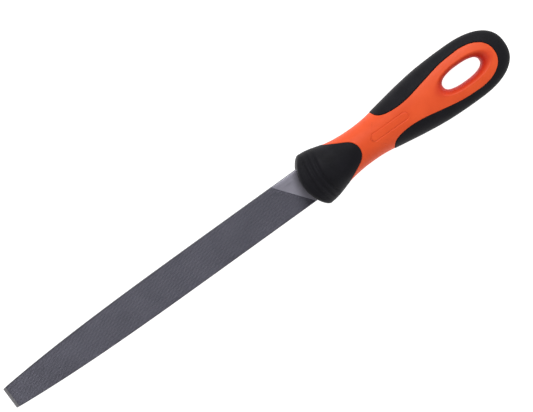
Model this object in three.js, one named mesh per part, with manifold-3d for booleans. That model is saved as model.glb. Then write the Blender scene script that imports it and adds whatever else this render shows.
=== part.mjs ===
// A 200 mm flat file for metalwork, driven into a moulded two-material handle.
// Units are millimetres. Stations are measured along the file from its tip, and the finished group is
// moved so that its origin is the centre of the whole tool. +X points to the handle's end, and +Z is
// normal to the flats.
import * as THREE from "three";
import { mergeVertices } from "three/addons/utils/BufferGeometryUtils.js";
import Module from "manifold-3d";

const wasm = await Module();
wasm.setup();

// ---- Driving dimensions ----

const BLADE = {
  width: 20.1,
  tipWidth: 12.6,
  widthTaper: 150, // the width narrows over this much of the front
  widthTaperPower: 3.55,
  thickness: 5,
  tipThickness: 3.3,
  thicknessTaper: 100,
  edgeChamfer: 0.35,
  shoulder: 200, // end of the full-width heel
  toothHeight: 0.25, // the bare heel lies this much under the cut faces
  cutEnd: 188.75, // where the last row of teeth crosses the centre line
  cutSlant: 0.771, // how far that row runs along the file for each millimetre across it
};

const TANG = {
  neckStart: 206,
  neckHalfWidth: 5.2,
  end: 262,
  endHalfWidth: 2.6,
  neckHalfThickness: 2.25,
  endHalfThickness: 1.5,
};

const HANDLE = {
  front: 195, // the foremost line of the curved front face
  frontRadius: 22, // the front face is part of an upright cylinder
  rim: 201.9, // where the front face meets the widest point of the side
  rimRounding: 1.2,
  endStart: 300, // the rounded end begins here
  end: 328.8,
  endRoundness: 2.4,
  skin: 2.4, // thickness of the soft grip material
  coreFront: 206.5,
};

// Half width and half height of the handle along its length.
const HALF_WIDTH = [
  [201.9, 16.0],
  [209, 14.8],
  [218, 12.3],
  [226, 11.15],
  [234.5, 10.8],
  [243, 11.25],
  [254, 13.0],
  [267, 15.05],
  [280, 16.55],
  [292, 17.1],
  [300, 17.15],
];
const HALF_HEIGHT = [
  [201.9, 13.2],
  [209, 12.4],
  [218, 10.9],
  [226, 10.0],
  [234.5, 9.7],
  [243, 10.1],
  [254, 11.0],
  [267, 11.2],
  [280, 10.4],
  [292, 9.2],
  [300, 8.6],
  [328.8, 7.2],
];

const SQUARENESS = { neck: 2.15, eye: 2.6, from: 240, to: 290 };

const COLLAR_LOBE = { nose: 231.3, radius: 7.8, flankAngle: THREE.MathUtils.degToRad(28.3) };

// Edge of the hard shell beside the rear grip, from the prong's tip to the widest point round the eye.
const PRONG_TIP = [247.3, 12.3];
const SHELL_EDGE = [
  [248.3, 9.9],
  [250.2, 8.2],
  [254, 6.95],
  [260.5, 6.4],
  [268, 7.0],
  [279.7, 9.3],
  [292, 11.6],
  [303, 12.25],
];
const SHELL_END = 321;
const SHELL_END_FULLNESS = 0.6; // Bezier handle share; 0.55 is an ellipse

const EYE = {
  centre: 300.15,
  halfLength: 12.4,
  halfWidth: 4.95,
  roundness: 2.4,
  throat: 2, // half height of the straight middle of the hole
  flareHeight: 7,
  flareLength: 4.8,
  flareWidth: 3.5,
  flarePower: 1.5,
};

const PANEL = { centre: 250.9, halfLength: 12.3, halfWidth: 2.6, line: 0.8, depth: 0.35 };

const GAP = 0.3; // clearance between touching pieces
const REACH = 25; // cutters run this far past the handle's surface
const RING_POINTS = 32;

// ---- Geometry helpers ----

// A closed three.js geometry as a solid that can be cut and joined.
function toSolid(geometry) {
  const bare = new THREE.BufferGeometry().setAttribute("position", geometry.getAttribute("position"));
  if (geometry.index) bare.setIndex(geometry.index);
  const merged = mergeVertices(bare, 1e-4);
  return new wasm.Manifold(
    new wasm.Mesh({
      numProp: 3,
      vertProperties: new Float32Array(merged.attributes.position.array),
      triVerts: new Uint32Array(merged.index.array),
    }),
  );
}

function toGeometry(solid) {
  const mesh = solid.getMesh();
  const geometry = new THREE.BufferGeometry();
  geometry.setAttribute("position", new THREE.BufferAttribute(mesh.vertProperties, 3));
  geometry.setIndex(new THREE.BufferAttribute(mesh.triVerts, 1));
  geometry.computeVertexNormals();
  return geometry;
}

// A solid skinned over rings of equal length, closed at each end by a fan about the end ring's centre.
function loft(rings) {
  const count = rings[0].length;
  const vertices = rings.flat();
  const index = [];
  for (let r = 0; r + 1 < rings.length; r++) {
    for (let i = 0; i < count; i++) {
      const a = r * count + i;
      const b = r * count + ((i + 1) % count);
      index.push(a, b, a + count, b, b + count, a + count);
    }
  }
  const addCap = (start, facesForward) => {
    const ring = vertices.slice(start, start + count);
    const centre = ring.reduce((sum, p) => sum.add(p), new THREE.Vector3()).divideScalar(count);
    vertices.push(centre);
    for (let i = 0; i < count; i++) {
      const a = start + i;
      const b = start + ((i + 1) % count);
      index.push(vertices.length - 1, ...(facesForward ? [a, b] : [b, a]));
    }
  };
  addCap(0, false);
  addCap((rings.length - 1) * count, true);
  const positions = new Float32Array(vertices.flatMap((p) => [p.x, p.y, p.z]));
  const geometry = new THREE.BufferGeometry();
  geometry.setAttribute("position", new THREE.BufferAttribute(positions, 3));
  geometry.setIndex(index);
  return toSolid(geometry);
}

// A plan outline raised from one height to another.
function prism(shape, low, high, segments = 12) {
  const geometry = new THREE.ExtrudeGeometry(shape, {
    depth: high - low,
    bevelEnabled: false,
    curveSegments: segments,
  });
  geometry.translate(0, 0, low);
  return toSolid(geometry);
}

// A cubic through control points whose slope at each point comes from its two neighbours.
function smoothCurve(points) {
  const slope = points.map((_, i) => {
    const before = points[Math.max(i - 1, 0)];
    const after = points[Math.min(i + 1, points.length - 1)];
    return (after[1] - before[1]) / (after[0] - before[0]);
  });
  return (x) => {
    let i = points.findIndex((p) => p[0] > x) - 1;
    if (i < 0) i = x < points[0][0] ? 0 : points.length - 2;
    const [x0, y0] = points[i];
    const [x1, y1] = points[i + 1];
    const span = x1 - x0;
    const t = THREE.MathUtils.clamp((x - x0) / span, 0, 1);
    const rise = t * t * (3 - 2 * t);
    return y0 + (y1 - y0) * rise + span * t * (1 - t) * ((1 - t) * slope[i] - t * slope[i + 1]);
  };
}

const power = (value, exponent) => Math.sign(value) * Math.abs(value) ** exponent;

// ---- Blade and tang ----

function bladeWidth(x) {
  const share = Math.max(0, 1 - x / BLADE.widthTaper) ** BLADE.widthTaperPower;
  return BLADE.width - (BLADE.width - BLADE.tipWidth) * share;
}

function bladeThickness(x) {
  const share = Math.max(0, 1 - x / BLADE.thicknessTaper) ** 2;
  return BLADE.thickness - (BLADE.thickness - BLADE.tipThickness) * share;
}

// A rectangle across the file with its corners cut off.
function barRing(x, halfWidth, halfThickness, chamfer) {
  const ring = [];
  for (const [sy, sz] of [[1, 1], [-1, 1], [-1, -1], [1, -1]]) {
    const nearFlat = new THREE.Vector3(x, sy * (halfWidth - chamfer), sz * halfThickness);
    const nearEdge = new THREE.Vector3(x, sy * halfWidth, sz * (halfThickness - chamfer));
    ring.push(...(sy * sz > 0 ? [nearEdge, nearFlat] : [nearFlat, nearEdge]));
  }
  return ring;
}

const BLADE_STATIONS = [0.35, 5, 10, 17, 25, 35, 45, 57, 70, 84, 100, 125, 150, BLADE.shoulder];
const NECK_STATIONS = [0.12, 0.35, 0.65, 1]; // shares of the way from the shoulder to the neck

// The file blank with its tang, larger all round by grow when it cuts its own socket.
function fileBar(grow = 0) {
  const c = BLADE.edgeChamfer;
  const rings = [barRing(-grow, bladeWidth(0) / 2 - c + grow, bladeThickness(0) / 2 - c + grow, c)];
  for (const x of BLADE_STATIONS) {
    rings.push(barRing(x, bladeWidth(x) / 2 + grow, bladeThickness(x) / 2 + grow, c));
  }
  const drop = BLADE.width / 2 - TANG.neckHalfWidth;
  const neckLength = TANG.neckStart - BLADE.shoulder;
  for (const share of NECK_STATIONS) {
    const x = BLADE.shoulder + grow + neckLength * share;
    const neckWidth = TANG.neckHalfWidth + grow + drop * (1 - Math.sqrt(share * (2 - share)));
    rings.push(barRing(x, neckWidth, TANG.neckHalfThickness + grow, c));
  }
  rings.push(barRing(TANG.end + grow, TANG.endHalfWidth + grow, TANG.endHalfThickness + grow, c));
  return loft(rings);
}

// The space over the bare heel. side is 1 for the top; the underside is its half turn about X.
function heelRelief(side) {
  const past = BLADE.width; // how far the cutter runs past the centre line and the handle's rim
  const far = HANDLE.rim + past;
  const base = BLADE.thickness / 2 - BLADE.toothHeight;
  const outline = new THREE.Shape([
    new THREE.Vector2(BLADE.cutEnd - BLADE.cutSlant * past, side * past),
    new THREE.Vector2(BLADE.cutEnd + BLADE.cutSlant * past, -side * past),
    new THREE.Vector2(far, -side * past),
    new THREE.Vector2(far, side * past),
  ]);
  return side > 0 ? prism(outline, base, BLADE.thickness) : prism(outline, -BLADE.thickness, -base);
}

function buildFileBlade() {
  return fileBar().subtract(heelRelief(1)).subtract(heelRelief(-1));
}

// ---- Handle form ----

const halfWidth = smoothCurve(HALF_WIDTH);
const halfHeight = smoothCurve(HALF_HEIGHT);

// The exponent of the oval section: nearly an ellipse at the neck, flatter round the eye.
function squareness(x) {
  const { neck, eye, from, to } = SQUARENESS;
  return neck + (eye - neck) * THREE.MathUtils.smoothstep(x, from, to);
}

// One ring round the handle, set in from the outer surface by inset. share is how far out a point lies, from
// 0 on the handle's mid-plane to 1 on its outline in plan.
function handleRing(x, inset) {
  const round = HANDLE.endRoundness;
  const into = Math.max(0, (x - HANDLE.endStart) / (HANDLE.end - HANDLE.endStart - inset)) ** round;
  const widest = halfWidth(Math.min(x, HANDLE.endStart)) - inset;
  const reach = widest * (1 - into) ** (1 / round);
  const n = squareness(x);
  const ring = [];
  for (let i = 0; i < RING_POINTS; i++) {
    const angle = (2 * Math.PI * i) / RING_POINTS;
    const y = reach * power(Math.cos(angle), 2 / n);
    const share = (into + (Math.abs(y) / widest) ** round) ** (1 / round);
    const onOutline = i % (RING_POINTS / 2) === 0;
    const height = onOutline ? 0 : (halfHeight(x) - inset) * (1 - share ** n) ** (1 / n);
    ring.push(new THREE.Vector3(x, y, Math.sign(Math.sin(angle)) * height));
  }
  return ring;
}

// Each is a share of the way from the middle of the front face to the side, and of the rim's rounding.
const FRONT_STATIONS = [[0.15, 0], [0.4, 0], [0.6, 0], [0.78, 0], [0.92, 0], [0.98, 0.35], [1, 1]];
const BODY_STATIONS = [205, 209, 213, 218, 223, 228, 234, 240, 246, 252, 258, 264, 271, 278, 286, 293, 300];
const END_STATIONS = [0.22, 0.42, 0.6, 0.75, 0.87, 0.95, 0.995]; // shares of the rounded end's length

// Rings from start to the rounded end of the handle, all set in by inset.
function bodyRings(start, inset) {
  const rings = [start, ...BODY_STATIONS.filter((x) => x > start + 1)].map((x) => handleRing(x, inset));
  const endLength = HANDLE.end - HANDLE.endStart - inset;
  for (const share of END_STATIONS) {
    rings.push(handleRing(HANDLE.endStart + endLength * share, inset));
  }
  return rings;
}

// The front face and its rounded rim, as rings that grow from the middle of the face to the side.
function frontRings() {
  const rim = handleRing(HANDLE.rim, 0);
  return FRONT_STATIONS.map(([share, rounding]) => {
    return rim.map((p) => {
      const y = p.y * share;
      const sag = HANDLE.frontRadius - Math.sqrt(HANDLE.frontRadius ** 2 - y ** 2);
      return new THREE.Vector3(HANDLE.front + sag + rounding * HANDLE.rimRounding, y, p.z * share);
    });
  });
}

const handleInset = (start, inset) => loft(bodyRings(start, inset));
const handleForm = () => loft([...frontRings(), ...bodyRings(BODY_STATIONS[0], 0)]);

// ---- Where the hard shell shows between the soft pieces ----

// Half of the visible shell's outline in plan, from the collar's nose to the rear end, at positive Y.
function shellOutline() {
  const { nose, radius, flankAngle } = COLLAR_LOBE;
  const lobe = new THREE.EllipseCurve(nose - radius, 0, radius, radius, 0, Math.PI / 2 - flankAngle);
  const points = lobe.getPoints(7);
  const last = points[points.length - 1];
  const flank = REACH - last.y;
  points.push(new THREE.Vector2(last.x - flank / Math.tan(flankAngle), REACH));
  points.push(new THREE.Vector2(PRONG_TIP[0], REACH));
  const edge = new THREE.SplineCurve([PRONG_TIP, ...SHELL_EDGE].map(([x, y]) => new THREE.Vector2(x, y)));
  points.push(...edge.getPoints(20));
  const [wideX, wideY] = SHELL_EDGE[SHELL_EDGE.length - 1];
  const end = new THREE.CubicBezierCurve(
    new THREE.Vector2(wideX, wideY),
    new THREE.Vector2(wideX + SHELL_END_FULLNESS * (SHELL_END - wideX), wideY),
    new THREE.Vector2(SHELL_END, SHELL_END_FULLNESS * wideY),
    new THREE.Vector2(SHELL_END, 0),
  );
  points.push(...end.getPoints(9).slice(1));
  return points;
}

// The same outline closed over both halves, moved outwards by grow.
function shellPrism(grow) {
  const half = shellOutline();
  const mirrored = half.slice(1, -1).reverse().map((p) => new THREE.Vector2(p.x, -p.y));
  const loop = [...half, ...mirrored];
  const moved = loop.map((p, i) => {
    const along = loop[(i + 1) % loop.length].clone().sub(loop[(i + loop.length - 1) % loop.length]);
    const outwards = new THREE.Vector2(-along.y, along.x).normalize();
    return p.clone().addScaledVector(outwards, grow);
  });
  return prism(new THREE.Shape(moved), -REACH, REACH);
}

// ---- Eye and name panel ----

const EYE_STATIONS = [-12, -9.5, -8, -6.5, -5, -3.5, -2, 2, 3.5, 5, 6.5, 8, 9.5, 12];

// The hanging hole, flared towards both faces.
function eyeCutter() {
  const rings = [];
  for (const z of EYE_STATIONS) {
    const flare = (Math.max(0, Math.abs(z) - EYE.throat) / EYE.flareHeight) ** EYE.flarePower;
    const ring = [];
    for (let i = 0; i < RING_POINTS; i++) {
      const angle = (2 * Math.PI * i) / RING_POINTS;
      const x = (EYE.halfLength + EYE.flareLength * flare) * power(Math.cos(angle), 2 / EYE.roundness);
      const y = (EYE.halfWidth + EYE.flareWidth * flare) * power(Math.sin(angle), 2 / EYE.roundness);
      ring.push(new THREE.Vector3(EYE.centre + x, y, z));
    }
    rings.push(ring);
  }
  return loft(rings);
}

function stadium(halfLength, radius) {
  const shape = new THREE.Shape();
  const straight = halfLength - radius;
  shape.absarc(PANEL.centre + straight, 0, radius, -Math.PI / 2, Math.PI / 2, false);
  shape.absarc(PANEL.centre - straight, 0, radius, Math.PI / 2, (3 * Math.PI) / 2, false);
  return shape;
}

// The outline groove of the blank name panel, on both faces.
function panelGroove() {
  const outline = stadium(PANEL.halfLength, PANEL.halfWidth);
  outline.holes.push(stadium(PANEL.halfLength - PANEL.line, PANEL.halfWidth - PANEL.line));
  return prism(outline, -REACH, REACH, 6).subtract(handleInset(HANDLE.rim, PANEL.depth));
}

// ---- Handle pieces ----

function buildHandleCore(form) {
  const inner = handleInset(HANDLE.coreFront, HANDLE.skin);
  const shown = form.intersect(shellPrism(0));
  return inner.add(shown).subtract(eyeCutter()).subtract(panelGroove()).subtract(fileBar(GAP));
}

// Both soft pieces: what is left of the form outside the core, the collar first.
function buildSoftPieces(form) {
  const room = handleInset(HANDLE.coreFront - GAP, HANDLE.skin - GAP);
  const left = form.subtract(room).subtract(shellPrism(GAP)).subtract(fileBar(GAP));
  return left.decompose().sort((a, b) => a.boundingBox().min[0] - b.boundingBox().min[0]);
}

// ---- Materials and assembly ----

const steel = new THREE.MeshStandardMaterial({ color: 0x5c5c67, roughness: 0.45, metalness: 0.9 });
const hardPlastic = new THREE.MeshStandardMaterial({ color: 0xe05632, roughness: 0.45, metalness: 0 });
const softRubber = new THREE.MeshStandardMaterial({ color: 0x212026, roughness: 0.75, metalness: 0 });

function piece(name, solid, material) {
  const mesh = new THREE.Mesh(toGeometry(solid), material);
  mesh.name = name;
  return mesh;
}

const form = handleForm();
const [collar, rearGrip] = buildSoftPieces(form);

const file = new THREE.Group();
file.name = "flat_file";
file.position.x = -HANDLE.end / 2;
file.add(
  piece("file_blade", buildFileBlade(), steel),
  piece("handle_core", buildHandleCore(form), hardPlastic),
  piece("front_collar", collar, softRubber),
  piece("rear_grip", rearGrip, softRubber),
);

export default file;
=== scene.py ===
"""The looks of a flat file for metalwork.

A double-cut steel blade sits in a handle of hard orange plastic with a soft black collar and rear grip.
"""

import math

import bmesh
import bpy
import numpy as np
from mathutils import Matrix, Vector


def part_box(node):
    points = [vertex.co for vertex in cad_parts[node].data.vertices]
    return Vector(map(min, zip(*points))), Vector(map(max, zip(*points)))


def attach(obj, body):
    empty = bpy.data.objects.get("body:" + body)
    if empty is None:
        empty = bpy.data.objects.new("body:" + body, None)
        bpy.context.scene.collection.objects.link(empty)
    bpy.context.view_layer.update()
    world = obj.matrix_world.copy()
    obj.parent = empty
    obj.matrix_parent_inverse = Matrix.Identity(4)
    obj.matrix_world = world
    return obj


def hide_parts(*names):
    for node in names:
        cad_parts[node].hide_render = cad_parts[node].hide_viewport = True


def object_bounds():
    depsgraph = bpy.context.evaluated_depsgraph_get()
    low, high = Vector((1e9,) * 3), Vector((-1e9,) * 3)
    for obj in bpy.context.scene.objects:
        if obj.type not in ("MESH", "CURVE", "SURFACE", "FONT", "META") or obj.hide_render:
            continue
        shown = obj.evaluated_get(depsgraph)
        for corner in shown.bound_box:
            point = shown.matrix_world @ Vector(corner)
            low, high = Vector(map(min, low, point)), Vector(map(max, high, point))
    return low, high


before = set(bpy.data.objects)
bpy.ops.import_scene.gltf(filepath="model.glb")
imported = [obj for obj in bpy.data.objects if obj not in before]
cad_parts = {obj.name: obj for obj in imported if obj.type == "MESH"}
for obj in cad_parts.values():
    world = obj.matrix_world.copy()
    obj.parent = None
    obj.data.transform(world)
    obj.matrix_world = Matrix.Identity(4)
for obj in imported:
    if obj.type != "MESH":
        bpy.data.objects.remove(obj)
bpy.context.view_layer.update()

# Shapes are worked out in millimetres, with stations measured from the blade's tip along +X.
MM = 0.001
TIP_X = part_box("file_blade")[0].x / MM
WELD = 1e-5  # points of neighbouring grids this close are one point
SLIVER = 1e-3  # shorter edges of the teeth are dissolved
ON_OUTLINE = 1e-6  # a plan position this close to the handle's outline, as a share, is on it
HALVINGS = 60  # steps in the search for a crossing

# ---- Driving dimensions, as in the CAD model ----

BLADE_WIDTH, TIP_WIDTH, WIDTH_TAPER, WIDTH_TAPER_POWER = 20.1, 12.6, 150, 3.55
BLADE_THICKNESS, TIP_THICKNESS, THICKNESS_TAPER = 5.0, 3.3, 100
SHOULDER, NECK_START, TANG_END = 200, 206, 262
NECK_HALF, TANG_END_HALF = (5.2, 2.25), (2.6, 1.5)
BAR_CHAMFER = 0.35
TOOTH_HEIGHT = 0.25
CUT_END, CUT_SLANT = 188.75, 0.771

FRONT, FRONT_RADIUS, RIM = 195, 22, 201.9
END_START, END, END_ROUNDNESS = 300, 328.8, 2.4
HALF_WIDTH = [
    (201.9, 16.0), (209, 14.8), (218, 12.3), (226, 11.15), (234.5, 10.8), (243, 11.25),
    (254, 13.0), (267, 15.05), (280, 16.55), (292, 17.1), (300, 17.15),
]
HALF_HEIGHT = [
    (201.9, 13.2), (209, 12.4), (218, 10.9), (226, 10.0), (234.5, 9.7), (243, 10.1),
    (254, 11.0), (267, 11.2), (280, 10.4), (292, 9.2), (300, 8.6), (328.8, 7.2),
]
SQUARE_NECK, SQUARE_EYE, SQUARE_FROM, SQUARE_TO = 2.15, 2.6, 240, 290
CORE_FRONT, CORE_DEPTH = 206.5, 2.4
GRIP_FRONT, GRIP_DEPTH = 206.2, 2.1
SOCKET_GAP, BOX_ROUNDNESS = 0.3, 12

LOBE_NOSE, LOBE_RADIUS, LOBE_FLANK = 231.3, 7.8, math.radians(28.3)
SHELL_EDGE = [
    (247.3, 12.3), (248.3, 9.9), (250.2, 8.2), (254, 6.95), (260.5, 6.4), (268, 7.0),
    (279.7, 9.3), (292, 11.6), (303, 12.25),
]
SHELL_END, SHELL_END_ROUNDNESS = 321, 2.2

EYE_X, EYE_LENGTH, EYE_WIDTH, EYE_ROUNDNESS = 300.15, 12.4, 4.95, 2.4
DISH_LENGTH, DISH_WIDTH, DISH_POWER, THROAT = 17.2, 7.7, 1.6, 2.0
PANEL_X, PANEL_LENGTH, PANEL_WIDTH = 250.9, 12.3, 2.6

# ---- Details that only the looks have ----

# Rows beside the joint line of hard and soft material: distance from the line, height over the skin.
SHELL_LIP = [(0.04, -CORE_DEPTH), (0.04, -0.5), (0.1, -0.22), (0.22, -0.07), (0.42, 0)]
GRIP_LIP = [(0.04, -GRIP_DEPTH), (0.04, -0.35), (0.1, -0.06), (0.22, 0.09), (0.42, 0.15)]
GRIP_RAISE = GRIP_LIP[-1][1]
# Across the line round the name panel: distance in from its outer edge, height.
PANEL_LINE = [(0, 0), (0.12, -0.05), (0.3, -0.22), (0.45, -0.28), (0.6, -0.22), (0.78, -0.05), (0.9, 0)]

# The collar: half width and height of the blade's slot, the rounding of its rim, the thumb ribs and hollow.
SLOT_HALF = (10.2, 2.42)
RIM_ROUND_SIDE, RIM_ROUND_TOP, RIM_RAMP = 1.2, 2.2, 3.0
RIB_X, RIB_PITCH, RIB_DEPTH, RIB_RADIUS = 201.9, 3.3, 0.8, 34
RIB_FADE = (0.68, 0.95)
THUMB_FROM, THUMB_TO, THUMB_DEPTH = 207.5, 228, 0.7
THUMB_FADE = (0.2, 0.85)

# The teeth: crest and notch are shares of a tooth's pitch and of its height.
TOOTH_PITCH, CROSS_PITCH, CROSS_ANGLE = 0.71, 0.75, math.radians(65)
TOOTH_CREST, CROSS_CREST, NOTCH_HEIGHT = 0.3, 0.5, 0.35
SPARE_ROWS = 1.1  # rows laid out, as a share of those from the cut's end to the tip
CUT_START = 1.8
EDGE_TOOTH_PITCH, EDGE_TOOTH_CREST, EDGE_TOOTH_DEPTH, EDGE_TOOTH_LEAN = 0.8, 0.35, 0.2, 0.4
EDGE_TOOTH_MARGIN, EDGE_TOOTH_SUNK, EDGE_CUT_START = 0.3, 0.9, 2.5

COLLAR_SHADE = 4.5  # the painted shade on the heel reaches over this much of its length in front of the collar


# ---- Curves and surfaces ----


def smooth_curve(x, y):
    """A cubic through points whose slope at each comes from its two neighbours."""
    x, y = np.asarray(x, float), np.asarray(y, float)
    order = np.arange(len(x))
    before, after = np.maximum(order - 1, 0), np.minimum(order + 1, len(x) - 1)
    slope = (y[after] - y[before]) / (x[after] - x[before])

    def curve(at):
        i = np.clip(np.searchsorted(x, at) - 1, 0, len(x) - 2)
        span = x[i + 1] - x[i]
        t = np.clip((at - x[i]) / span, 0, 1)
        rise = t * t * (3 - 2 * t)
        lean = (1 - t) * slope[i] - t * slope[i + 1]
        return y[i] + (y[i + 1] - y[i]) * rise + span * t * (1 - t) * lean

    return curve


def smoothstep(value, low, high):
    t = np.clip((value - low) / (high - low), 0, 1)
    return t * t * (3 - 2 * t)


def solve(f, low, high):
    """Where f, which rises through zero between low and high, crosses it."""
    for _ in range(HALVINGS):
        middle = (low + high) / 2
        below = f(middle) < 0
        low, high = np.where(below, middle, low), np.where(below, high, middle)
    return (low + high) / 2


def stack(*parts):
    return np.stack(np.broadcast_arrays(*parts), -1)


def oval(angle, half_length, half_width, roundness):
    """A superellipse's point at an angle, as its two coordinates."""
    c, s = np.abs(np.cos(angle)), np.abs(np.sin(angle))
    size = (c**roundness + s**roundness) ** (1 / roundness)
    return half_length * np.cos(angle) / size, half_width * np.sin(angle) / size


def distances(points):
    return np.concatenate([[0], np.cumsum(np.linalg.norm(np.diff(points, axis=0), axis=1))])


def walk(points, shares):
    """The points of a polyline at the given shares of its length."""
    along = distances(points)
    return np.stack([np.interp(shares * along[-1], along, c) for c in points.T], -1)


half_width = smooth_curve(*zip(*HALF_WIDTH))
half_height = smooth_curve(*zip(*HALF_HEIGHT))


def squareness(x):
    return SQUARE_NECK + (SQUARE_EYE - SQUARE_NECK) * smoothstep(x, SQUARE_FROM, SQUARE_TO)


def section(x, angle):
    """The handle's skin ahead of its rounded end, by station and by angle up from its side."""
    y, z = oval(angle, half_width(x), half_height(x), squareness(x))
    return stack(x, y, z)


def share_out(x, y):
    """How far out a plan position is: 0 on the centre line, 1 on the handle's outline."""
    into = np.maximum(0, (x - END_START) / (END - END_START)) ** END_ROUNDNESS
    across = (np.abs(y) / half_width(np.minimum(x, END_START))) ** END_ROUNDNESS
    return (into + across) ** (1 / END_ROUNDNESS)


def skin(x, y):
    """The handle's upper skin over a plan position."""
    n = squareness(x)
    share = share_out(x, y)
    share = np.where(share > 1 - ON_OUTLINE, 1, share)
    return stack(x, y, half_height(x) * (1 - share**n) ** (1 / n))


def section_angle(points):
    x, y, z = np.moveaxis(points, -1, 0)
    return np.arctan2(z / half_height(x), y / half_width(x))


def onto_skin(points):
    """Points close to the skin, moved onto it."""
    x, y = points[..., 0], points[..., 1]
    return np.where((x < END_START)[..., None], section(x, section_angle(points)), skin(x, y))


def outward(points):
    """The skin's unit normal at points on it."""
    step = 1e-3

    def level(p):
        x, y, z = np.moveaxis(p, -1, 0)
        n = squareness(x)
        return share_out(x, y) ** n + (np.abs(z) / half_height(x)) ** n

    slope = np.stack([level(points + step * axis) - level(points - step * axis) for axis in np.eye(3)], -1)
    return slope / np.linalg.norm(slope, axis=-1, keepdims=True)


def push(points, height):
    height = np.asarray(height, float)
    return points + outward(points) * (height[..., None] if height.ndim else height)


# ---- Mesh making ----

QUARTER_COPIES = [(1, 1, 1), (1, -1, 1), (1, 1, -1), (1, -1, -1)]


def weld(grids, copies=QUARTER_COPIES):
    """Points and faces of grids joined where they meet, repeated by mirroring across the two mid-planes."""
    points, quads, start = [], [], 0
    for grid in grids:
        for signs in copies:
            rows, columns = grid.shape[:2]
            index = start + np.arange(rows * columns).reshape(rows, columns)
            quads.append(np.stack([index[:-1, :-1], index[1:, :-1], index[1:, 1:], index[:-1, 1:]], -1))
            points.append(grid.reshape(-1, 3) * signs)
            start += rows * columns
    points = np.concatenate(points)
    quads = np.concatenate([q.reshape(-1, 4) for q in quads])
    keys = np.round(points / WELD).astype(np.int64)
    _, first, same = np.unique(keys, axis=0, return_index=True, return_inverse=True)
    faces = [list(dict.fromkeys(q)) for q in same.reshape(-1)[quads].tolist()]
    return points[first], [f for f in faces if len(f) > 2]


def add_piece(name, node, slot, material, points, faces, smooth=True):
    """A mesh piece that stands for a CAD node."""
    mesh = bpy.data.meshes.new(name)
    mesh.from_pydata(((points + (TIP_X, 0, 0)) * MM).tolist(), [], faces)
    solid = bmesh.new()
    solid.from_mesh(mesh)
    bmesh.ops.recalc_face_normals(solid, faces=solid.faces)
    solid.to_mesh(mesh)
    solid.free()
    if smooth:
        mesh.shade_smooth()
    else:
        mesh.shade_flat()
    mesh.materials.append(material)
    piece = bpy.data.objects.new(name, mesh)
    bpy.context.scene.collection.objects.link(piece)
    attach(piece, "root")
    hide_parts(node)
    return piece


# ---- The joint lines of hard and soft material ----


def sideways(edge):
    """The unit vectors in the skin that stand square to a line on it, from its left to its right."""
    tangent = np.gradient(edge, axis=0)
    tangent[0], tangent[-1] = (0, 0, 1), (0, -1, 0)
    across = np.cross(tangent, outward(edge))
    return across / np.linalg.norm(across, axis=-1, keepdims=True)


def lip(edge, side, profile):
    """Rows of points beside a line on the skin."""
    normal = outward(edge)
    return np.stack([edge + side * distance + normal * height for distance, height in profile])


def lobe_width(x):
    """Half the width in plan of the collar's lobe."""
    turn = math.pi / 2 - LOBE_FLANK
    centre = LOBE_NOSE - LOBE_RADIUS
    tangent_x, tangent_y = centre + LOBE_RADIUS * math.cos(turn), LOBE_RADIUS * math.sin(turn)
    on_arc = np.sqrt(np.maximum(0, LOBE_RADIUS**2 - (x - centre) ** 2))
    return np.where(x > tangent_x, on_arc, tangent_y + (tangent_x - x) * math.tan(LOBE_FLANK))


def collar_edge(angle):
    """The line where the collar ends, by section angle."""
    x = solve(lambda at: section(at, angle)[..., 1] - lobe_width(at), np.full_like(angle, RIM), LOBE_NOSE)
    return section(x, angle)


def shell_edge():
    """A fine line along the edge of the shell beside the rear grip, from the side to the rear end."""
    wide_x, wide_y = SHELL_EDGE[-1]
    turn = np.radians(np.linspace(82.5, 0, 12))
    end_x, end_y = oval(turn, SHELL_END - wide_x, wide_y, SHELL_END_ROUNDNESS)
    control = np.concatenate([SHELL_EDGE, stack(wide_x + end_x, end_y)])
    along = distances(control)
    line_x, line_y = smooth_curve(along, control[:, 0]), smooth_curve(along, control[:, 1])
    start = solve(lambda s: half_width(line_x(s)) - line_y(s), 0.0, along[1])
    s = start + (along[-1] - start) * np.linspace(0, 1, FINE_EDGE) ** 2
    return skin(line_x(s), line_y(s))


def stadium(inset):
    """The upper half of the name panel's outline in plan, from its front to its rear."""
    radius = PANEL_WIDTH - inset
    straight = PANEL_LENGTH - PANEL_WIDTH
    turn = np.linspace(0, math.pi / 2, 13)
    front = stack(PANEL_X - straight - radius * np.cos(turn), radius * np.sin(turn))
    return np.concatenate([front, front[::-1] * (-1, 1) + (2 * PANEL_X, 0)])


def eye_line(half_length, half_wide):
    """The upper half of an oval round the eye in plan, from its front to its rear."""
    x, y = oval(np.linspace(math.pi, 0, 241), half_length, half_wide, EYE_ROUNDNESS)
    return stack(EYE_X + x, np.abs(y))


# The shell's rows run in from its edge to four stretches: the centre line ahead of the name panel, the
# panel's outline, the centre line behind it, and the eye's dish. Each stretch has a number of rows, a place
# on the edge where it ends, and a place on the handle's outline where it ends.
SHELL_ROWS = [8, 76, 40, 120]
EDGE_STOPS = [247.9, 263, 279, SHELL_END]
OUTLINE_STOPS = [249.2, 263.5, 279.5, END]
CENTRE_START = 236.7

# How finely the other stretches are divided.
FINE_EDGE = 8000
QUARTER_TURN = np.linspace(0, math.pi / 2, 30)
COARSE_QUARTER_TURN = np.linspace(0, math.pi / 2, 14)
NECK_ROWS, DISH_ROWS, HIDDEN_ROWS = 44, 22, 14
FACE_ROWS, ROUNDING_ROWS, FLANK_ROWS, COLLAR_COLUMNS = 26, 12, 120, 72
PANEL_FLOOR_START, PANEL_FLOOR_ROWS = 1.1, 5
DISH_CROWDING = 0.6  # below 1, the dish's rows stand closer near the throat


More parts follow.
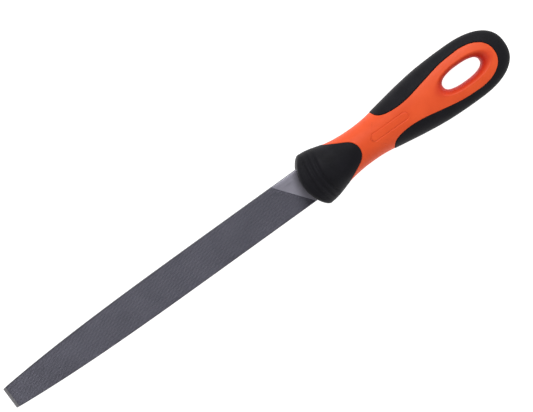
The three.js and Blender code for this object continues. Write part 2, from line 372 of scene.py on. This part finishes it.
def row_shares(line, stops):
    """The share of a line's length at each row, with the rows of each stretch evenly spaced."""
    along = distances(line) / distances(line)[-1]
    ends = [0, *np.interp(stops, line[:, 0], along)]
    shares = [np.linspace(a, b, n + 1)[:-1] for a, b, n in zip(ends, ends[1:], SHELL_ROWS)]
    return np.concatenate([*shares, [ends[-1]]])


def inner_line():
    """The line on the skin that the shell's rows run in to."""
    panel, dish = stadium(0), eye_line(DISH_LENGTH, DISH_WIDTH)
    stretches = [np.array([(CENTRE_START, 0), panel[0]]), panel, np.array([panel[-1], dish[0]]), dish]
    shares = [np.linspace(0, 1, n + 1)[:-1] for n in SHELL_ROWS]
    rows = [walk(line, at) for line, at in zip(stretches, shares)]
    return skin(*np.concatenate([*rows, dish[-1:]]).T)


def outline_line(start_x):
    """The handle's outline, from start_x round to its rear end, at the shell's rows."""
    side_x = np.linspace(start_x, END_START, 400)
    turn = np.linspace(math.pi / 2, 0, 400)
    end_x, end_y = oval(turn, END - END_START, half_width(END_START), END_ROUNDNESS)
    plan = np.concatenate([stack(side_x, half_width(side_x)), stack(END_START + end_x, end_y)[1:]])
    rows = walk(plan, row_shares(plan, OUTLINE_STOPS))
    return stack(rows[:, 0], rows[:, 1], 0)


def span_skin(start, end, shares):
    """Rows on the skin between two lines, at shares of the way in plan."""
    plan = start[:, :2] + (end[:, :2] - start[:, :2]) * shares[:, None, None]
    grid = skin(plan[..., 0], plan[..., 1])
    grid[0], grid[-1] = start, end
    return grid


def span_sections(start, end, rows):
    """Rows on the skin ahead of the rounded end, between two lines across it."""
    share = np.linspace(0, 1, rows)[:, None]
    x = start[:, 0] + (end[:, 0] - start[:, 0]) * share
    angle = section_angle(start) + (section_angle(end) - section_angle(start)) * share
    grid = section(x, angle)
    grid[0], grid[-1] = start, end
    return grid


# ---- Handle pieces ----


def box_ring(x, angle, half_sizes):
    """A quarter of a rectangular hole's outline, by section angle."""
    y, z = oval(angle, *half_sizes, BOX_ROUNDNESS)
    return stack(x, y, z)


def core_grids():
    """The hard core: its skin and joint lines, its hidden faces, the tang's socket, name panel and eye."""
    fine = shell_edge()
    edge = walk(fine, row_shares(fine, EDGE_STOPS))
    side = sideways(edge)
    inner = inner_line()
    shell = span_skin(onto_skin(edge + side * SHELL_LIP[-1][0]), inner, 1 - np.cos(QUARTER_TURN))
    rear_lip = lip(edge, side, SHELL_LIP)
    rear_lip[-1] = shell[0]

    # Under the rear grip the core carries on, set in by the grip's thickness.
    outline = outline_line(edge[0, 0])
    under_grip = push(span_skin(edge, outline, np.sin(COARSE_QUARTER_TURN)), -CORE_DEPTH)
    under_grip[0] = rear_lip[0]

    first_row = shell[:, 0]
    angle = section_angle(first_row)
    front_edge = collar_edge(angle)
    front_side = -sideways(front_edge)
    neck = span_sections(onto_skin(front_edge + front_side * SHELL_LIP[-1][0]), first_row, NECK_ROWS)
    front_lip = lip(front_edge, front_side, SHELL_LIP)
    front_lip[-1] = neck[0]

    # Under the collar it is set in too, as far as its front face, where the socket of the tang opens.
    share = np.linspace(0, 1, HIDDEN_ROWS)[:, None]
    under_x = front_edge[:, 0] + (CORE_FRONT - front_edge[:, 0]) * share
    under_collar = push(section(under_x, angle), -CORE_DEPTH)
    under_collar[0] = front_lip[0]
    mouth = np.array(NECK_HALF) + SOCKET_GAP
    bottom = np.array(TANG_END_HALF) + SOCKET_GAP
    front_face = under_collar[-1] * (0, 1, 1) + (CORE_FRONT, 0, 0)
    socket = np.stack([
        under_collar[-1],
        front_face,
        box_ring(CORE_FRONT, angle, mouth),
        box_ring(TANG_END + SOCKET_GAP, angle, bottom),
        box_ring(TANG_END + SOCKET_GAP, angle, (0, 0)),
    ])

    panel_rows = slice(SHELL_ROWS[0], SHELL_ROWS[0] + SHELL_ROWS[1] + 1)
    floor = [(d, 0) for d in np.linspace(PANEL_FLOOR_START, PANEL_WIDTH, PANEL_FLOOR_ROWS)]
    shares = np.linspace(0, 1, SHELL_ROWS[1] + 1)
    panel = np.stack([push(skin(*walk(stadium(d), shares).T), h) for d, h in PANEL_LINE + floor])
    panel[0] = shell[-1, panel_rows]

    rim = shell[-1, -SHELL_ROWS[3] - 1 :]
    throat = walk(eye_line(EYE_LENGTH, EYE_WIDTH), np.linspace(0, 1, len(rim)))
    inward = (1 - np.cos(np.linspace(0, math.pi / 2, DISH_ROWS)))[:, None, None] ** DISH_CROWDING
    plan = rim[:, :2] + (throat - rim[:, :2]) * inward
    dish = skin(plan[..., 0], plan[..., 1])
    share_up = (1 - inward[..., 0] ** DISH_POWER) ** (1 / DISH_POWER)
    dish[..., 2] = THROAT + (dish[..., 2] - THROAT) * share_up
    dish[0] = rim
    wall = np.stack([dish[-1], dish[-1] * (1, 1, 0)])
    return [shell, rear_lip, under_grip, neck, front_lip, under_collar, socket, panel, dish, wall]


def rear_grip_grids():
    """The soft band round the handle's sides and end, a little proud of the core."""
    fine = shell_edge()
    edge = walk(fine, row_shares(fine, EDGE_STOPS))
    side = -sideways(edge)
    start = onto_skin(edge + side * GRIP_LIP[-1][0])
    outline = outline_line(start[0, 0])
    outside = push(span_skin(start, outline, np.sin(QUARTER_TURN)), GRIP_RAISE)
    edge_lip = lip(edge, side, GRIP_LIP)
    edge_lip[-1] = outside[0]
    inside = push(span_skin(edge, outline, np.sin(COARSE_QUARTER_TURN)), -GRIP_DEPTH)
    inside[0] = edge_lip[0]
    return [outside, edge_lip, inside]


def front_x(y):
    """Where the collar's curved front face lies at y."""
    return FRONT + FRONT_RADIUS - np.sqrt(FRONT_RADIUS**2 - y**2)


def collar_relief(x, angle, start_x):
    """Height of the collar over the plain skin: thumb ribs and a shallow hollow behind them."""
    y = section(x, angle)[..., 1]
    out = y / half_width(x)
    behind = x - RIB_X - y**2 / (2 * RIB_RADIUS)
    in_ribs = (behind > -RIB_PITCH) & (behind < 2 * RIB_PITCH)
    wave = np.where(in_ribs, 0.5 - 0.5 * np.cos(2 * math.pi * behind / RIB_PITCH), 0)
    ribs = RIB_DEPTH * wave * (1 - smoothstep(out, *RIB_FADE))
    thumb = np.sin(math.pi * np.clip((x - THUMB_FROM) / (THUMB_TO - THUMB_FROM), 0, 1)) ** 2
    hollow = THUMB_DEPTH * thumb * (1 - smoothstep(out, *THUMB_FADE))
    return GRIP_RAISE * smoothstep(x - start_x, 0, RIM_RAMP) - ribs - hollow


def collar_grids():
    """The soft collar: its front face, rounded rim, flank and joint line, and the slot for the blade."""
    angle = np.linspace(0, math.pi / 2, COLLAR_COLUMNS)
    edge = collar_edge(angle)
    side = sideways(edge)
    corner = section(np.full_like(angle, RIM), angle)
    radius = RIM_ROUND_SIDE + (RIM_ROUND_TOP - RIM_ROUND_SIDE) * np.sin(angle) ** 2
    reach = np.linalg.norm(corner[:, 1:], axis=-1)

    turn = np.linspace(0, math.pi / 2, ROUNDING_ROWS)[:, None]
    share = 1 - radius / reach * (1 - np.sin(turn))
    round_x = front_x(share * corner[:, 1]) + radius * (1 - np.cos(turn))
    rounding = section(round_x, angle) * stack(1, share, share)

    slot_front = box_ring(0, angle, SLOT_HALF)
    slot_front[:, 0] = front_x(slot_front[:, 1])
    out = np.linspace(0, 1, FACE_ROWS)[:, None, None]
    face = slot_front + (rounding[0] - slot_front) * out
    face[..., 0] = front_x(face[..., 1])
    face[-1] = rounding[0]

    start_x = rounding[-1, :, 0]
    stop = onto_skin(edge + side * GRIP_LIP[-1][0])
    flank = span_sections(rounding[-1], stop, FLANK_ROWS)
    flank = push(flank, collar_relief(flank[..., 0], section_angle(flank), start_x))
    flank[0] = rounding[-1]
    edge_lip = lip(edge, side, GRIP_LIP)
    edge_lip[-1] = flank[-1]

    back = np.linspace(0, 1, HIDDEN_ROWS)[:, None]
    inside = push(section(edge[:, 0] + (GRIP_FRONT - edge[:, 0]) * back, angle), -GRIP_DEPTH)
    inside[0] = edge_lip[0]
    slot_rear = box_ring(GRIP_FRONT, angle, SLOT_HALF)
    slot = np.stack([inside[-1], inside[-1] * (0, 1, 1) + (GRIP_FRONT, 0, 0), slot_rear, slot_front])
    return [face, rounding, flank, edge_lip, inside, slot]


# ---- Blade pieces ----


def blade_half_width(x):
    share = np.maximum(0, 1 - x / WIDTH_TAPER) ** WIDTH_TAPER_POWER
    return (BLADE_WIDTH - (BLADE_WIDTH - TIP_WIDTH) * share) / 2


def blade_half_thickness(x):
    share = np.maximum(0, 1 - x / THICKNESS_TAPER) ** 2
    return (BLADE_THICKNESS - (BLADE_THICKNESS - TIP_THICKNESS) * share) / 2


def bar_ring(x, half_wide, half_thick, chamfer):
    """A quarter of a rectangle across the blade with its corner rounded off."""
    turn = np.linspace(0, math.pi / 2, 5)
    corner_y = half_wide - chamfer + chamfer * np.cos(turn)
    corner_z = half_thick - chamfer + chamfer * np.sin(turn)
    flat_y = np.linspace(half_wide - chamfer, 0, 9)[1:]
    y = np.concatenate([[half_wide], corner_y, flat_y])
    z = np.concatenate([[0], corner_z, np.full_like(flat_y, half_thick)])
    return stack(x, y, z)


def bar_grid():
    """The bare bar under the teeth, with its heel, shoulder and tang."""
    c = BAR_CHAMFER
    rings = []

    def add_blade_ring(x, inset=0.0):
        half_thick = blade_half_thickness(x) - TOOTH_HEIGHT
        rings.append(bar_ring(x, blade_half_width(x) - inset, half_thick - inset, c))

    for turn in np.linspace(0, math.pi / 2, 6):
        add_blade_ring(c * (1 - math.cos(turn)), inset=c * (1 - math.sin(turn)))
    for x in np.linspace(2 * c, SHOULDER, 100):
        add_blade_ring(x)
    # The shoulder narrows to the tang's neck in a quarter of an oval.
    for share in np.linspace(0.04, 1, 16):
        shrink = math.sqrt(share * (2 - share))
        x = SHOULDER + (NECK_START - SHOULDER) * share
        half_wide = BLADE_WIDTH / 2 + (NECK_HALF[0] - BLADE_WIDTH / 2) * shrink
        rings.append(bar_ring(x, half_wide, NECK_HALF[1], c))
    rings.append(bar_ring(TANG_END, *TANG_END_HALF, c))
    tip_fill = [rings[0] * (1, share, share) for share in (0, 0.5)]
    return np.stack([*tip_fill, *rings, rings[-1] * (1, 0, 0)])


def cut_face():
    """The teeth of the top face: their points, faces, and each point's height from root (0) to crest (1)."""
    along_rows = np.array([-CUT_SLANT, 1]) / math.hypot(CUT_SLANT, 1)
    along_cross = np.array([math.cos(CROSS_ANGLE), math.sin(CROSS_ANGLE)])
    crossing = abs(float(np.cross(along_cross, along_rows)))
    row_step = along_cross * TOOTH_PITCH / crossing
    cross_step = along_rows * CROSS_PITCH / crossing

    # Rows count back from the last one at the heel, to past the tip. They drift sideways along the cross
    # cuts, so more cross cuts are laid out than the blade is wide.
    rows = -int(SPARE_ROWS * CUT_END / TOOTH_PITCH)
    drift = -rows * row_step[1]
    crosses = int((drift + BLADE_WIDTH) / cross_step[1])
    cells = np.arange(rows, 1)[:, None] + np.array([0, TOOTH_CREST])
    row = cells.reshape(-1)[:-1]
    spare = int(BLADE_WIDTH / cross_step[1])
    cross = (np.arange(-spare, crosses)[:, None] + np.array([0, CROSS_CREST])).reshape(-1)
    on_row_crest = (np.arange(len(row)) % 2 == 1)[:, None]
    on_cross_crest = (np.arange(len(cross)) % 2 == 1)[None, :]
    height = np.where(on_row_crest, np.where(on_cross_crest, 1.0, NOTCH_HEIGHT), 0.0)
    plan = (CUT_END, 0) + row[:, None, None] * row_step + cross[None, :, None] * cross_step

    limit = blade_half_width(plan[..., 0]) - BAR_CHAMFER
    inside = (np.abs(plan[..., 1]) < limit) & (plan[..., 0] > CUT_START)
    x = np.maximum(plan[..., 0], CUT_START)
    limit = blade_half_width(x) - BAR_CHAMFER
    y = np.clip(plan[..., 1], -limit, limit)
    z = blade_half_thickness(x) - TOOTH_HEIGHT * (1 - height)
    points = stack(x, y, z).reshape(-1, 3)
    index = np.arange(len(points)).reshape(x.shape)
    quads = np.stack([index[:-1, :-1], index[1:, :-1], index[1:, 1:], index[:-1, 1:]], -1).reshape(-1, 4)
    kept = quads[inside.reshape(-1)[quads].any(axis=1)]
    used, renumbered = np.unique(kept, return_inverse=True)
    return points[used], renumbered.reshape(-1, 4).tolist(), height.reshape(-1)[used]


def add_cut_face(name, turn):
    """A closed plate of teeth, turned about X by half a turn for the underside."""
    points, faces, height = cut_face()
    signs = (1, -1, -1) if turn else (1, 1, 1)
    piece = add_piece(name, "file_blade", "file_steel", cut_steel, points * signs, faces, smooth=False)
    solid = bmesh.new()
    solid.from_mesh(piece.data)
    crest = solid.verts.layers.float.new("crest")
    solid.verts.ensure_lookup_table()
    for vertex, value in zip(solid.verts, height):
        vertex[crest] = value
    # Two triangles to each facet, split along its steepest line.
    bmesh.ops.triangulate(solid, faces=solid.faces, quad_method="FIXED")
    rim = [edge for edge in solid.edges if edge.is_boundary]
    made = bmesh.ops.extrude_edge_only(solid, edges=rim)["geom"]
    skirt = [item for item in made if isinstance(item, bmesh.types.BMVert)]
    depth = (TIP_THICKNESS / 2 - 2 * TOOTH_HEIGHT) * MM * signs[2]
    for vertex in skirt:
        vertex.co.z = depth
    bmesh.ops.triangle_fill(solid, edges=[e for e in solid.edges if e.is_boundary])
    bmesh.ops.dissolve_degenerate(solid, edges=solid.edges, dist=SLIVER * MM)
    bmesh.ops.recalc_face_normals(solid, faces=solid.faces)
    solid.to_mesh(piece.data)
    solid.free()
    piece.data.shade_flat()
    return piece


def cut_edge_grid(side):
    """The single cut along one narrow edge of the blade, closed all round."""
    x = np.arange(EDGE_CUT_START, CUT_END - side * CUT_SLANT * BLADE_WIDTH / 2, EDGE_TOOTH_PITCH)
    x = (x[:, None] + np.array([0, EDGE_TOOTH_CREST * EDGE_TOOTH_PITCH])).reshape(-1)
    crest = np.tile([0, 1], len(x) // 2)
    level = blade_half_thickness(x) - TOOTH_HEIGHT - EDGE_TOOTH_MARGIN
    height = np.linspace(1, -1, 7)[:, None] * level
    x = x + EDGE_TOOTH_LEAN * height
    surface = stack(x, blade_half_width(x) + EDGE_TOOTH_DEPTH * (crest - 0.5), height)
    sunk = stack(x, blade_half_width(x) - EDGE_TOOTH_SUNK, height)
    middle = sunk[len(sunk) // 2][None]
    ring = np.concatenate([middle, sunk[:1], surface, sunk[-1:], middle])
    centre = ring[:1].repeat(len(ring), 0)
    ring = np.concatenate([centre[:, :1], ring, centre[:, -1:]], 1)
    return ring * (1, side, 1)


# ---- Materials ----


class Shader:
    """A Principled material built node by node. A node's inputs are set by name, and a socket is linked."""

    def __init__(self, name, **constants):
        self.material = bpy.data.materials.new(name)
        self.material.use_nodes = True
        self.tree = self.material.node_tree
        self.surface = self.tree.nodes["Principled BSDF"]
        self.fill(self.surface, constants)
        self.place = self.node("ShaderNodeTexCoord").outputs["Object"]

    def fill(self, node, values):
        for name, value in values.items():
            socket = node.inputs[name if isinstance(name, int) else name.replace("_", " ")]
            if isinstance(value, bpy.types.NodeSocket):
                self.tree.links.new(value, socket)
            else:
                socket.default_value = value

    def node(self, kind, settings=None, **values):
        node = self.tree.nodes.new(kind)
        for name, value in (settings or {}).items():
            setattr(node, name, value)
        self.fill(node, values)
        return node

    def math(self, operation, a, b=0.0):
        node = self.tree.nodes.new("ShaderNodeMath")
        node.operation = operation
        self.fill(node, {0: a, 1: b})
        return node.outputs[0]

    def noise(self, per_mm, detail=3.0, stretch=(1, 1, 1), offset=(0, 0, 0)):
        """Noise with about per_mm features in a millimetre, drawn out along axes of small stretch."""
        scale = [per_mm * s / MM for s in stretch]
        mapping = self.node("ShaderNodeMapping", Vector=self.place, Scale=scale, Location=offset)
        texture = self.node("ShaderNodeTexNoise", Vector=mapping.outputs[0], Scale=1.0, Detail=detail)
        return texture.outputs["Fac"]

    def eye_shade_mask(self):
        """Mask of the painted shade in the eye: 1 at its throat, fading to 0 towards the dish's edge."""
        # Scaled so that the throat's ends and sides come to 0.5.
        along, across = 0.5 / EYE_LENGTH, 0.5 / EYE_WIDTH
        scale = (along / MM, across / MM, 0)
        shift = (-(EYE_X + TIP_X) * along, 0, 0)
        scaled = self.node("ShaderNodeMapping", Vector=self.place, Scale=scale, Location=shift)
        reach = self.node("ShaderNodeVectorMath", {"operation": "LENGTH"}, Vector=scaled.outputs[0])
        return self.ramp(reach.outputs["Value"], (0.53, 1.0), (0.82, 0.0))

    def on_heel(self):
        """1 on the heel's two flats, behind the slanting line where the cut ends."""
        x, y, z = self.node("ShaderNodeSeparateXYZ", Vector=self.place).outputs
        across = self.math("MULTIPLY", self.math("MULTIPLY", y, self.math("SIGN", z)), CUT_SLANT)
        behind = self.math("GREATER_THAN", self.math("ADD", x, across), (CUT_END + TIP_X) * MM)
        # Just under the flats' height, so that the blade's rounded corners are left out.
        flat = (BLADE_THICKNESS / 2 - TOOTH_HEIGHT - BAR_CHAMFER / 10) * MM
        return self.math("MULTIPLY", behind, self.math("GREATER_THAN", self.math("ABSOLUTE", z), flat))

    def collar_shade_mask(self):
        """Mask of the painted shade in front of the collar: 1 at its curved front face, fading to 0 a little
        way in front of it.
        """
        x, y, _ = self.node("ShaderNodeSeparateXYZ", Vector=self.place).outputs
        curve = self.math("DIVIDE", self.math("MULTIPLY", y, y), 2 * FRONT_RADIUS * MM)
        ahead = self.math("SUBTRACT", self.math("ADD", curve, (FRONT + TIP_X) * MM), x)
        return self.ramp(self.math("DIVIDE", ahead, COLLAR_SHADE * MM), (0.0, 1.0), (1.0, 0.0))

    def on_tip(self):
        """1 on the end face at the tip, and on the rounding round it."""
        x = self.node("ShaderNodeSeparateXYZ", Vector=self.place).outputs[0]
        return self.math("LESS_THAN", x, (CUT_START + TIP_X) * MM)

    def ramp(self, factor, *stops):
        """Colours or greys at positions, mixed smoothly."""
        node = self.node("ShaderNodeValToRGB", Fac=factor)
        elements = node.color_ramp.elements
        while len(elements) < len(stops):
            elements.new(0.5)
        for element, (position, colour) in zip(elements, stops):
            element.position = position
            element.color = (*colour, 1) if isinstance(colour, tuple) else (colour, colour, colour, 1)
        return node.outputs["Color"]

    def mix(self, factor, a, b):
        """Two colours mixed. The node has several sockets of each name, so they go by number."""
        node = self.tree.nodes.new("ShaderNodeMix")
        node.data_type = "RGBA"
        self.fill(node, {0: factor, 6: a, 7: b})
        return node.outputs[2]

    def bump(self, height, strength, distance_mm, under=None):
        values = {"Height": height, "Strength": strength, "Distance": distance_mm * MM}
        if under is not None:
            values["Normal"] = under
        return self.node("ShaderNodeBump", **values).outputs[0]

    def finish(self, **links):
        self.fill(self.surface, links)
        return self.material


def make_cut_steel():
    """Dark hardened teeth, with painted shade: darker in the roots and brighter on the crests."""
    s = Shader("cut_steel", Metallic=1.0)
    crest = s.node("ShaderNodeAttribute", {"attribute_name": "crest"}).outputs["Fac"]
    cloud = s.noise(0.06, 4.0)
    streak = s.noise(0.5, 3.0, stretch=(0.12, 1, 1), offset=(3, 1, 0))
    body = s.ramp(cloud, (0.3, (0.078, 0.077, 0.096)), (0.7, (0.103, 0.102, 0.127)))
    body = s.mix(s.math("MULTIPLY", streak, 0.3), body, (0.14, 0.138, 0.168, 1))
    # Painted shade in the roots of the teeth, lighter up on the crests.
    painted_root_shade = s.mix(s.math("MULTIPLY", crest, 0.3), body, (0.3, 0.296, 0.35, 1))
    rough = s.ramp(s.noise(1.5), (0.3, 0.46), (0.7, 0.6))
    return s.finish(Base_Color=painted_root_shade, Roughness=rough)


def make_edge_steel():
    """The dark steel of the blade's narrow cut edges."""
    s = Shader("edge_steel", Metallic=1.0)
    cloud = s.noise(0.4, 4.0, stretch=(0.3, 1, 1))
    base = s.ramp(cloud, (0.3, (0.05, 0.049, 0.056)), (0.7, (0.09, 0.088, 0.1)))
    rough = s.ramp(s.noise(2.0), (0.3, 0.42), (0.7, 0.56))
    return s.finish(Base_Color=base, Roughness=rough)


def make_bare_steel():
    """Ground steel of the heel with fine marks along the blade, with painted shade by the collar, and darker
    under the cuts.
    """
    s = Shader("bare_steel", Metallic=1.0)
    marks = s.noise(3.0, 4.0, stretch=(0.02, 1, 1))
    cloud = s.noise(0.15, 3.0, offset=(5, 0, 0))
    base = s.ramp(cloud, (0.3, (0.45, 0.437, 0.52)), (0.7, (0.56, 0.545, 0.64)))
    base = s.mix(s.math("MULTIPLY", marks, 0.4), base, (0.28, 0.272, 0.32, 1))
    # Painted shade on the heel just in front of the collar.
    base = s.mix(s.math("MULTIPLY", s.collar_shade_mask(), 0.5), base, (0.2, 0.19, 0.215, 1))
    dark = s.mix(s.on_tip(), (0.09, 0.088, 0.105, 1), (0.27, 0.266, 0.28, 1))
    base = s.mix(s.on_heel(), dark, base)
    rough = s.ramp(marks, (0.3, 0.36), (0.7, 0.5))
    normal = s.bump(marks, 0.25, 0.01)
    return s.finish(Base_Color=base, Roughness=rough, Normal=normal)


def make_hard_plastic():
    """Orange moulded plastic with a fine eroded texture, and painted shade of a deeper red down in the eye.
    """
    s = Shader("hard_plastic", Specular_IOR_Level=0.22)
    cloud = s.noise(0.08, 3.0)
    base = s.ramp(cloud, (0.3, (0.7, 0.072, 0.016)), (0.7, (0.78, 0.092, 0.022)))
    speck = s.noise(2.2, 2.0, offset=(7, 2, 0))
    base = s.mix(s.math("MULTIPLY", speck, 0.12), base, (0.9, 0.15, 0.05, 1))
    # Painted shade, a deeper red, down in the eye's dish.
    base = s.mix(s.eye_shade_mask(), base, (0.53, 0.016, 0.007, 1))
    rough = s.ramp(s.noise(0.9, 4.0, offset=(1, 8, 0)), (0.3, 0.42), (0.7, 0.56))
    normal = s.bump(s.noise(4.0, 2.0), 0.35, 0.02, under=s.bump(s.noise(0.25, 2.0), 0.1, 0.15))
    return s.finish(Base_Color=base, Roughness=rough, Normal=normal)


def make_soft_rubber():
    """Black rubber with a fine matt grain and a faint sheen."""
    s = Shader("soft_rubber", Sheen_Weight=0.03, Sheen_Roughness=0.5, Specular_IOR_Level=0.12)
    cloud = s.noise(0.12, 3.0)
    base = s.ramp(cloud, (0.3, (0.0035, 0.0034, 0.0052)), (0.7, (0.0065, 0.0062, 0.009)))
    dust = s.noise(3.0, 2.0, offset=(2, 9, 0))
    base = s.mix(s.math("MULTIPLY", dust, 0.15), base, (0.025, 0.025, 0.03, 1))
    rough = s.ramp(s.noise(1.2, 4.0, offset=(4, 4, 0)), (0.3, 0.55), (0.7, 0.7))
    normal = s.bump(s.noise(5.0, 3.0), 0.5, 0.03)
    return s.finish(Base_Color=base, Roughness=rough, Normal=normal)


# ---- Assembly ----

cut_steel = make_cut_steel()
edge_steel = make_edge_steel()
bare_steel = make_bare_steel()
hard_plastic = make_hard_plastic()
soft_rubber = make_soft_rubber()

add_piece("core_shell", "handle_core", "hard_plastic", hard_plastic, *weld(core_grids()))
add_piece("rubber_rear_grip", "rear_grip", "soft_rubber", soft_rubber, *weld(rear_grip_grids()))
add_piece("rubber_collar", "front_collar", "soft_rubber", soft_rubber, *weld(collar_grids()))
add_piece("blade_bar", "file_blade", "file_steel", bare_steel, *weld([bar_grid()]))
add_cut_face("cut_top", turn=False)
add_cut_face("cut_underside", turn=True)
for name, side in (("cut_edge_left", 1), ("cut_edge_right", -1)):
    points, faces = weld([cut_edge_grid(side)], copies=[(1, 1, 1)])
    add_piece(name, "file_blade", "file_steel", edge_steel, points, faces, smooth=False)


# ---- Studio ----

PHOTO_ANGLE = math.radians(35.69)  # how far the blade leans up from level in the picture
CAMERA_TILT = math.radians(5)  # the camera stands this far to the +Y side of straight above
LENS, SENSOR = 100.0, 36.0
VIEW_WIDTH = 287.8 * MM
AIM = Vector((8.58, 3.28, 0)) * MM
FLOOR_HALF, FLOOR_GLOW = 2.0, 0.96  # half its side in metres, and the light it gives off
SKY = [(0.0, 1.0), (0.15, 0.63), (0.55, 0.63), (0.95, 0.2)]  # sine of the height over the horizon, light


def add_camera():
    data = bpy.data.cameras.new("camera")
    data.lens, data.sensor_width = LENS, SENSOR
    camera = bpy.data.objects.new("camera", data)
    bpy.context.scene.collection.objects.link(camera)
    back = Vector((0, math.sin(CAMERA_TILT), math.cos(CAMERA_TILT)))
    up = Vector((math.sin(PHOTO_ANGLE), math.cos(PHOTO_ANGLE), 0))
    right = up.cross(back).normalized()
    up = back.cross(right)
    turn = Matrix((right, up, back)).transposed().to_4x4()
    camera.matrix_world = Matrix.Translation(AIM + back * (VIEW_WIDTH * LENS / SENSOR)) @ turn
    bpy.context.scene.camera = camera


def add_floor():
    """A plain pale floor under the lowest point of the tool."""
    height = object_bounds()[0].z
    mesh = bpy.data.meshes.new("floor")
    corners = [(x * FLOOR_HALF, y * FLOOR_HALF, height) for x, y in [(-1, -1), (1, -1), (1, 1), (-1, 1)]]
    mesh.from_pydata(corners, [], [(0, 1, 2, 3)])
    floor = bpy.data.objects.new("floor", mesh)
    s = Shader("pale_floor", Roughness=0.8, Emission_Color=(1, 1, 1, 1), Emission_Strength=FLOOR_GLOW)
    pale = s.ramp(s.noise(0.002, 2.0), (0.3, 0.38), (0.7, 0.41))
    mesh.materials.append(s.finish(Base_Color=pale))
    bpy.context.scene.collection.objects.link(floor)


def add_light(name, direction, distance, size, power):
    """A square soft light that faces the tool."""
    data = bpy.data.lights.new(name, "AREA")
    data.energy, data.size = power, size
    light = bpy.data.objects.new(name, data)
    away = Vector(direction).normalized()
    facing = away.to_track_quat("Z", "Y").to_matrix().to_4x4()
    light.matrix_world = Matrix.Translation(away * distance) @ facing
    bpy.context.scene.collection.objects.link(light)


def add_world():
    """Soft light from all round, brightest low down and weaker from straight above."""
    world = bpy.data.worlds.new("studio")
    world.use_nodes = True
    nodes, links = world.node_tree.nodes, world.node_tree.links
    place = nodes.new("ShaderNodeTexCoord")
    split = nodes.new("ShaderNodeSeparateXYZ")
    ramp = nodes.new("ShaderNodeValToRGB")
    background = nodes["Background"]
    links.new(place.outputs["Generated"], split.inputs[0])
    links.new(split.outputs["Z"], ramp.inputs[0])
    links.new(ramp.outputs["Color"], background.inputs["Color"])
    elements = ramp.color_ramp.elements
    while len(elements) < len(SKY):
        elements.new(0.5)
    for element, (height, light) in zip(elements, SKY):
        element.position, element.color = height, (light, light, light, 1)
    bpy.context.scene.world = world


add_camera()
add_floor()
add_world()
add_light("key", direction=(0.55, 0.75, 1.0), distance=1.4, size=0.7, power=13.5)
add_light("fill", direction=(-0.9, -0.25, 0.9), distance=1.4, size=0.8, power=3)
bpy.context.scene.view_settings.view_transform = "Standard"
